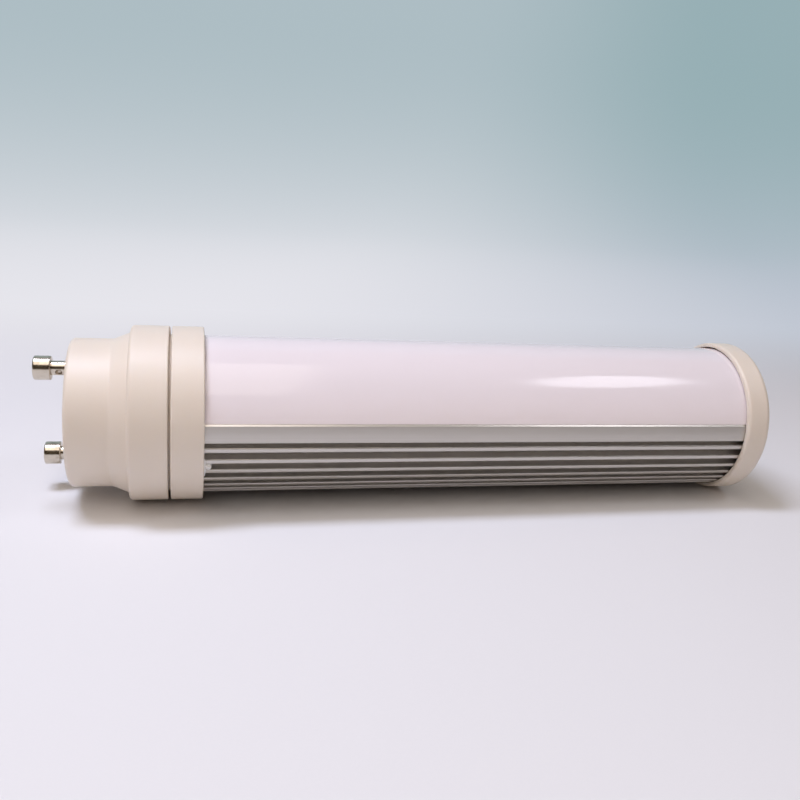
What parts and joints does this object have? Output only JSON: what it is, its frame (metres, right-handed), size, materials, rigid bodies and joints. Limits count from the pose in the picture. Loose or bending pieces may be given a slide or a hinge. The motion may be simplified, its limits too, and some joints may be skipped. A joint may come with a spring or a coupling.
{
  "type": "led plug-in lamp",
  "caption": "LED plug-in lamp: ivory twist-lock pin base and collar, finned aluminium half tube, opal half-round diffuser and a rounded end cap, with its LED board and driver inside.",
  "frame": {"origin": "centre of the base's flat pin face, on the lamp's axis", "axes": "+X along the lamp from the pin base to the end cap, +Z out of the diffuser, the finned side down"},
  "size_m": [0.1671, 0.0382, 0.0382],
  "materials": {
    "ivory_plastic": "moulded, fine satin",
    "nickel_plate": "turned brass, nickel plated",
    "anodised_aluminium": "extruded, clear anodised",
    "opal_plastic": "opal, satin gloss",
    "zinc_steel": "zinc plated",
    "white_board": "aluminium core, white solder mask",
    "led_resin": "phosphor resin in a white body",
    "grey_pad": "filled silicone sheet",
    "green_laminate": "glass-fibre laminate, green solder mask",
    "blue_sleeve": "shrunk insulating film",
    "ferrite": "pressed ferrite",
    "winding_tape": "yellow insulating tape",
    "copper_winding": "enamelled copper on a ferrite drum",
    "can_film": "printed-free shrink film on a can",
    "film_case": "moulded case",
    "black_epoxy": "moulded epoxy",
    "resistor_coat": "lacquered",
    "black_insulation": "silicone insulation",
    "white_insulation": "silicone insulation",
    "red_insulation": "silicone insulation",
    "adhesive": "cured silicone adhesive"
  },
  "bodies": {
    "root": {"base_cap": "ivory_plastic", "contact_pin_line": "nickel_plate", "contact_pin_neutral": "nickel_plate", "collar": "ivory_plastic", "collar_screws": "zinc_steel", "heat_sink": "anodised_aluminium", "diffuser": "opal_plastic", "end_cap": "ivory_plastic", "end_cap_screws": "zinc_steel", "thermal_pad": "grey_pad", "led_board": "white_board", "led_board_screws": "zinc_steel", "led_packages": "led_resin", "driver_sleeve": "blue_sleeve", "driver_board": "green_laminate", "fuse_resistor": "resistor_coat", "film_capacitor": "film_case", "bridge_rectifier": "black_epoxy", "input_choke": "copper_winding", "input_capacitor": "can_film", "transformer_core": "ferrite", "transformer_winding": "winding_tape", "controller_chip": "black_epoxy", "output_capacitor": "can_film", "line_lead": "black_insulation", "neutral_lead": "white_insulation", "led_lead_positive": "red_insulation", "led_lead_negative": "black_insulation", "adhesive_dab": "adhesive"}
  },
  "joints": []
}
